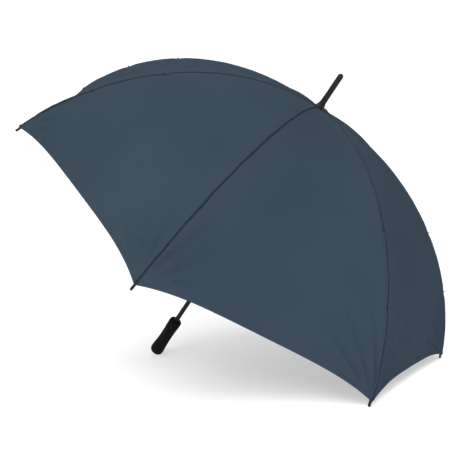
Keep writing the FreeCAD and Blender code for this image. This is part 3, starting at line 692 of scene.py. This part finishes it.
def seam_grid(rib, first, last, profile):
    """Points of a strip that follows the cloth over a rib; the profile is in millimetres."""
    rows = int((last - first) / SEAM_PITCH) + 1
    along = np.linspace(first, last, rows)
    wander = SEAM_WANDER * (np.sin(along * 71 + 2.1 * rib) + 0.7 * np.sin(along * 163 + 5.2 * rib))
    columns = []
    for across, lift in profile:
        place = across * MM + wander
        share = np.minimum(np.abs(place) / half_chord_at(along), 0.9)
        left = dome_point(rib, 1, along, share, lift * MM + tie_dimple(along))
        right = dome_point(rib, -1, along, share, lift * MM + tie_dimple(along))
        columns.append(np.where(place[:, None] >= 0, left, right))
    return np.stack(columns, axis=1), along


def make_seam(rib, part):
    """Felled seam: the two panels' edges folded over each other and stitched down on one side."""
    bounds = {
        "upper": (SEAM_START, FLEX_ALONG),
        "lower": (FLEX_ALONG, CORNER_ALONG - SEAM_END),
    }
    first, last = bounds[part]
    outer, along = seam_grid(rib, first, last, SEAM_PROFILE)
    low = [(across * SEAM_NARROWER, SEAM_UNDER) for across, _ in SEAM_PROFILE]
    inner, _ = seam_grid(rib, first, last, low)
    across = np.array([place for place, _ in SEAM_PROFILE]) * MM
    pairs = np.stack(np.broadcast_arrays(across[None, :], along[:, None]), axis=-1)
    piece = shell_piece(f"seam_{rib}_{part}", outer, inner, SEAM, {"edges": pairs}, False)
    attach(piece, f"{BODY_OF[part]}_{rib}")


# ------------------------------------------------------------------ crown patch and closing strap

PATCH_REACH = 21.5 * MM
PATCH_RINGS = 10
PATCH_STEPS = 10
PATCH_LIFT = 0.85 * MM
PATCH_THICKNESS = 0.5 * MM
PATCH_SEAM_RISE = 0.9 * MM
PATCH_SEAM_WIDTH = 4.5 * MM
PATCH_CLEAR_OF_FERRULE = 14.5 * MM
PATCH_FREE_WIDTH = 4.0 * MM
PATCH_CURL = 0.35 * MM
PATCH_CURLS = 13
PATCH_EDGE_WAVES = ((0.014, 11, 0.7), (0.012, 27, 0.0))
UNSEAMED = 20.0 * MM


def along_at_reach(reach):
    """Distance down the rib at which the dome has this reach from the shaft."""
    return (np.arcsin((reach - ARC_REACH) / DOME_RADIUS) + CROWN_RISE) * DOME_RADIUS


def make_crown_patch():
    """Round patch over the point where the panels meet, riding up over the ends of the seams."""
    rings = np.linspace(CLOTH_HOLE, PATCH_REACH, PATCH_RINGS)
    outer, inner, pairs = [], [], []
    for rib in RIBS:
        for step in range(-PATCH_STEPS, PATCH_STEPS):
            side = 1 if step >= 0 else -1
            turn = abs(step) / PATCH_STEPS * HALF_STEP
            share = 1 - math.tan(HALF_STEP - turn) / math.tan(HALF_STEP)
            azimuth = 2 * HALF_STEP * (rib + 0.5 * step / PATCH_STEPS)
            waves = (depth * math.sin(n * azimuth + start) for depth, n, start in PATCH_EDGE_WAVES)
            edge = 1 + sum(waves)
            reach = CLOTH_HOLE + (rings - CLOTH_HOLE) * edge
            along = along_at_reach(reach * math.cos(HALF_STEP - turn) / math.cos(HALF_STEP))
            free = np.clip((reach - PATCH_CLEAR_OF_FERRULE) / PATCH_FREE_WIDTH, 0, 1)
            near = math.exp(-((math.sin(turn) * PATCH_REACH / PATCH_SEAM_WIDTH) ** 2))
            curl = PATCH_CURL * (1 + math.sin(PATCH_CURLS * azimuth + 2.0)) * free**2
            lift = PATCH_LIFT + PATCH_SEAM_RISE * near * free + curl
            shares = np.full(PATCH_RINGS, share)
            outer.append(dome_point(rib, side, along, shares, lift))
            inner.append(dome_point(rib, side, along, shares, lift - PATCH_THICKNESS))
            pairs.append(np.stack([reach * math.cos(azimuth), reach * math.sin(azimuth)], axis=-1))
    outer, inner, pairs = (np.stack(grid, axis=1) for grid in (outer, inner, pairs))
    to_edge = PATCH_REACH - np.hypot(pairs[..., 0], pairs[..., 1])
    # The cloth material paints hem shade around the patch's rim; UNSEAMED keeps the painted seam shade off it.
    layers = {"weave": pairs, "edges": np.stack([np.full_like(to_edge, UNSEAMED), to_edge], axis=-1)}
    piece = shell_piece("crown_rosette", outer, inner, CLOTH, layers, False, ring=True)
    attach(piece, "shaft")
    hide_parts("crown_patch")


STRAP_RIB = 4
STRAP_WIDTH = 24.0 * MM
STRAP_FROM = 455.0 * MM
STRAP_TO = 640.0 * MM
STRAP_THICKNESS = 1.0 * MM
STRAP_LIFT = 1.9 * MM
STRAP_ROUNDED = 9.0 * MM
STRAP_TAPER = 0.28
STRAP_WAVE = 1.3 * MM
STRAP_CURL = 1.8 * MM
STRAP_ROLL = 0.25 * MM
STRAP_ROLL_WIDTH = 2.0 * MM
STRAP_COLUMNS = 15
STRAP_ROWS = 60


def make_strap():
    """Closing strap: folded cloth sewn down at its upper end, its free end lying down the panel."""
    across = np.linspace(-0.5, 0.5, STRAP_COLUMNS) * STRAP_WIDTH
    along = np.linspace(STRAP_FROM, STRAP_TO, STRAP_ROWS)
    down = (along - STRAP_FROM) / (STRAP_TO - STRAP_FROM)
    rounded = np.clip((along - STRAP_TO + STRAP_ROUNDED) / STRAP_ROUNDED, 0, 1)
    taper = 1 - STRAP_TAPER * rounded**2.5
    wave = STRAP_WAVE * down * np.sin(down * 9.0) + STRAP_CURL * down**3
    outer, inner, pairs = [], [], []
    for place in across:
        rib, side = (STRAP_RIB, 1) if place <= 0 else (STRAP_RIB + 1, -1)
        sideways = abs(place) * taper
        share = 1 - sideways / half_chord_at(along)
        edge = STRAP_WIDTH / 2 - abs(place)
        roll = STRAP_ROLL * math.exp(-((edge / STRAP_ROLL_WIDTH) ** 2)) * down
        lift = STRAP_LIFT + sag_at(along, share) + wave + roll
        outer.append(dome_point(rib, side, along, share, lift))
        inner.append(dome_point(rib, side, along, share, lift - STRAP_THICKNESS))
        pairs.append(np.stack([np.full_like(along, edge), along], axis=-1))
    outer, inner, pairs = (np.stack(grid, axis=1) for grid in (outer, inner, pairs))
    # The seam material paints shade along both edges of the strap.
    piece = shell_piece("closing_strap", outer, inner, SEAM, {"edges": pairs}, False)
    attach(piece, f"outer_rib_{STRAP_RIB}")
    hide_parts("tie_strap")
    fold_onto_rib(piece)


# ------------------------------------------------------------------ thread ties

TIE_HALF_WIDTH = {"near": 3.1 * MM, "far": 3.0 * MM, "corner": 3.4 * MM}
TIE_TURNS = {"near": 3, "far": 3, "corner": 4}
TIE_TOP = 0.95 * MM
TIE_BOTTOM = -7.4 * MM
TIE_BOXINESS = 0.8
THREAD_RADIUS = 0.42 * MM
THREAD_PITCH = 0.85 * MM
THREAD_LEAN = 0.3 * MM
LOOP_STEPS = 28
THREAD_SIDES = 8


def make_tie(rib, place):
    """Turns of thread that bind the seam to its rib, or the panel's corner to the rib's tip."""
    points, faces = [], []
    half_height, middle = (TIE_TOP - TIE_BOTTOM) / 2, (TIE_TOP + TIE_BOTTOM) / 2
    half_width = TIE_HALF_WIDTH[place]
    for turn in range(TIE_TURNS[place]):
        along = TIE_PLACES[place] + (turn - (TIE_TURNS[place] - 1) / 2) * THREAD_PITCH
        slope = float(slope_at(along))
        reach = ARC_REACH + DOME_RADIUS * math.sin(slope)
        height = ARC_HEIGHT + DOME_RADIUS * math.cos(slope)
        normal = OUT[rib] * math.sin(slope) + UP * math.cos(slope)
        run = OUT[rib] * math.cos(slope) - UP * math.sin(slope)
        centre = CROWN + OUT[rib] * reach + UP * height + normal * middle
        faces += tube_faces(LOOP_STEPS, THREAD_SIDES, len(points))
        for step in range(LOOP_STEPS):
            angle = 2 * math.pi * step / LOOP_STEPS
            boxed = math.copysign(abs(math.cos(angle)) ** TIE_BOXINESS, math.cos(angle))
            sideways = ACROSS[rib] * (half_width * boxed)
            upward = normal * (half_height * math.sin(angle))
            outward_way = (ACROSS[rib] * math.cos(angle) + normal * math.sin(angle)).normalized()
            lean = run * (THREAD_LEAN * math.sin(angle + turn))
            for side in range(THREAD_SIDES):
                turned = 2 * math.pi * side / THREAD_SIDES
                skin = (outward_way * math.cos(turned) + run * math.sin(turned)) * THREAD_RADIUS
                points.append(centre + sideways + upward + lean + skin)
    piece = new_piece(f"thread_{rib}_{place}", points, faces, THREAD)
    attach(piece, f"outer_rib_{rib}")


# ------------------------------------------------------------------ foam grip

GRIP_TOP = 760.0 * MM
GRIP_LENGTH = 145.0 * MM
GRIP_BORE = 7.05 * MM
GRIP_SEAT = 9.45 * MM
GRIP_RECESS = 3.0 * MM
GRIP_COLUMNS = 112
GRIP_STEP = 1.5 * MM
GRIP_DENTS = ((0.22 * MM, 55.0, 4.2), (0.1 * MM, 210.0, 9.6))
GRIP_OUTLINE = [
    (0.0, 8.4), (0.5, 9.6), (2.2, 11.0), (3.0, 12.6), (3.3, 14.6), (3.9, 16.6), (5.0, 18.0),
    (6.8, 18.9), (10.0, 19.3), (20.0, 19.4), (32.0, 19.0), (48.0, 18.2), (66.0, 17.8),
    (84.0, 18.0), (100.0, 18.9), (114.0, 20.1), (124.0, 20.8), (131.0, 20.9), (136.0, 20.3),
    (139.4, 18.8), (141.6, 16.6), (143.4, 14.6), (144.6, 12.6), (145.0, 10.8),
]


def grip_outline():
    """Depth and reach down the grip's outside, close enough together for its skin's dents."""
    corners = np.array(GRIP_OUTLINE) * MM
    steps = np.linalg.norm(np.diff(corners, axis=0), axis=1)
    run = np.concatenate([[0.0], np.cumsum(steps)])
    fine = np.linspace(0.0, run[-1], int(run[-1] / GRIP_STEP) + 1)
    smooth = [np.interp(fine, run, corners[:, axis]) for axis in (0, 1)]
    for _ in range(2):
        for line in smooth:
            line[1:-1] = (line[:-2] + 2 * line[1:-1] + line[2:]) / 4
    return smooth


def make_grip():
    """Foam grip: shouldered top, slight waist and rounded end, its skin faintly dented."""
    depth, reach = grip_outline()
    bare = np.array([GRIP_LENGTH, GRIP_LENGTH - GRIP_RECESS, GRIP_LENGTH - GRIP_RECESS, 0.0])
    inside = np.array([GRIP_SEAT, GRIP_SEAT, GRIP_BORE, GRIP_BORE])
    skin = np.concatenate([np.ones_like(depth), np.zeros_like(bare)])
    skin[:2] = 0
    depth, reach = np.concatenate([depth, bare]), np.concatenate([reach, inside])
    azimuth = 2 * math.pi * np.arange(GRIP_COLUMNS) / GRIP_COLUMNS
    out, across = np.array(OUT[1]), np.array(ACROSS[1])
    ways = np.cos(azimuth)[:, None] * out + np.sin(azimuth)[:, None] * across
    base = np.array(CROWN) - np.array(UP) * (GRIP_TOP + depth)[:, None]
    even = base[:, None, :] + reach[:, None, None] * ways[None]
    dents = sum(deep * ripple(even, scale, seed) for deep, scale, seed in GRIP_DENTS)
    points = even + (dents * skin[:, None])[..., None] * ways[None]
    faces = [tuple(reversed(face)) for face in tube_faces(len(depth), GRIP_COLUMNS)]
    piece = new_piece("foam_grip", points.reshape(-1, 3), faces, FOAM)
    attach(piece, "shaft")
    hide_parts("handle_grip")


# ------------------------------------------------------------------ build

for rib in RIBS:
    for side in SIDES:
        for part in BODY_OF:
            make_cloth(rib, side, part)
for rib in RIBS:
    for part in BODY_OF:
        make_seam(rib, part)
make_crown_patch()
make_strap()
make_grip()
for rib in RIBS:
    for place in TIE_PLACES:
        make_tie(rib, place)
for rib in RIBS:
    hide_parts(f"canopy_panel_{rib}")


def finish_nodes():
    """Give every CAD node its material; the ones that are replaced stay out of sight."""
    for name, node in frame["nodes"].items():
        if name.startswith(("inner_rib", "outer_rib")):
            material = FIBRE
        elif name.startswith("stretcher"):
            material = ENAMEL
        elif name.endswith("_wire"):
            material = WIRE
        elif name == "shaft":
            material = PAINT
        else:
            material = PLASTIC
        node.data.materials.clear()
        node.data.materials.append(material)


finish_nodes()

# ------------------------------------------------------------------ floor, light and camera

STAGE_FLAT = 5.0
STAGE_CURVE = 2.5
STAGE_SEGMENTS = 96
STAGE_STEPS = 12
STAGE_WALL = 9.0
STAGE_RINGS = (0.0, 1.5, 3.0, STAGE_FLAT)


def make_stage():
    """A round studio floor that curves up into its backdrop on every side."""
    profile = [(reach, 0.0) for reach in STAGE_RINGS]
    for step in range(1, STAGE_STEPS + 1):
        turn = step / STAGE_STEPS * math.pi / 2
        reach = STAGE_FLAT + STAGE_CURVE * math.sin(turn)
        profile.append((reach, STAGE_CURVE * (1 - math.cos(turn))))
    profile.append((STAGE_FLAT + STAGE_CURVE, STAGE_WALL))
    points = [(0.0, 0.0, 0.0)]
    faces = []
    for reach, height in profile[1:]:
        for step in range(STAGE_SEGMENTS):
            turn = 2 * math.pi * step / STAGE_SEGMENTS
            points.append((reach * math.cos(turn), reach * math.sin(turn), height))
    for step in range(STAGE_SEGMENTS):
        after = (step + 1) % STAGE_SEGMENTS
        faces.append((0, 1 + step, 1 + after))
        for ring in range(len(profile) - 2):
            a, b = 1 + ring * STAGE_SEGMENTS, 1 + (ring + 1) * STAGE_SEGMENTS
            faces.append((a + step, b + step, b + after, a + after))
    stage = new_piece("studio_stage", points, faces, floor_material())
    return stage


CAMERA_PLACE = Vector((0.7576, -1.1, 0.2679))
CAMERA_YAW = -37.878 * DEGREE
CAMERA_PITCH = 4.915 * DEGREE
CAMERA_ROLL = -3.259 * DEGREE
CAMERA_LENS = 38.664
CAMERA_SENSOR = 36.0
CAMERA_SIGHT = 50.0

WORLD_STRENGTH = 0.4
KEY_LIGHT = {"place": (1.3, -3.6, 1.5), "aim": (0.0, 0.0, 0.4), "size": 2.6, "energy": 50.0}
TOP_LIGHT = {"place": (0.6, -0.6, 3.6), "aim": (0.0, 0.0, 0.0), "size": 2.6, "energy": 62.0}
FLOOR_LIGHT = {"place": (1.3, -2.5, 2.15), "aim": (0.0, 0.0, 0.0), "size": 2.2, "energy": 185.0}


def camera_turn():
    """Rotation of a level camera looking along +Y, turned, tipped and rolled."""
    yaw = Matrix.Rotation(-CAMERA_YAW, 4, "Z")
    pitch = Matrix.Rotation(math.pi / 2 + CAMERA_PITCH, 4, "X")
    roll = Matrix.Rotation(CAMERA_ROLL, 4, "Z")
    return yaw @ pitch @ roll


def make_camera():
    data = bpy.data.cameras.new("camera")
    data.lens = CAMERA_LENS
    data.sensor_width = CAMERA_SENSOR
    data.clip_end = CAMERA_SIGHT
    camera = bpy.data.objects.new("camera", data)
    camera.matrix_world = Matrix.Translation(CAMERA_PLACE) @ camera_turn()
    bpy.context.scene.collection.objects.link(camera)
    bpy.context.scene.camera = camera


def make_softbox(name, place, aim, size, energy):
    """A round white softbox; size is its width, and energy is in watts."""
    data = bpy.data.lights.new(name, "AREA")
    data.shape = "DISK"
    data.size = size
    data.energy = energy
    light = bpy.data.objects.new(name, data)
    light.location = place
    light.rotation_euler = (Vector(aim) - Vector(place)).to_track_quat("-Z", "Y").to_euler()
    bpy.context.scene.collection.objects.link(light)
    return light


def light_only(light, receiver):
    """Keep a light's effect to one object; everything still casts its shadow there."""
    receivers = bpy.data.collections.new(f"{light.name}_receivers")
    receivers.objects.link(receiver)
    light.light_linking.receiver_collection = receivers


def make_light(stage):
    """Even white surroundings, a key light, a top light, and a light for the floor alone."""
    world = bpy.data.worlds.new("studio")
    world.use_nodes = True
    background = world.node_tree.nodes["Background"]
    background.inputs["Color"].default_value = rgb(WHITE)
    background.inputs["Strength"].default_value = WORLD_STRENGTH
    bpy.context.scene.world = world
    make_softbox("key", **KEY_LIGHT)
    make_softbox("top", **TOP_LIGHT)
    light_only(make_softbox("floor_key", **FLOOR_LIGHT), stage)


make_light(make_stage())
make_camera()
bpy.context.scene.view_settings.view_transform = "Standard"
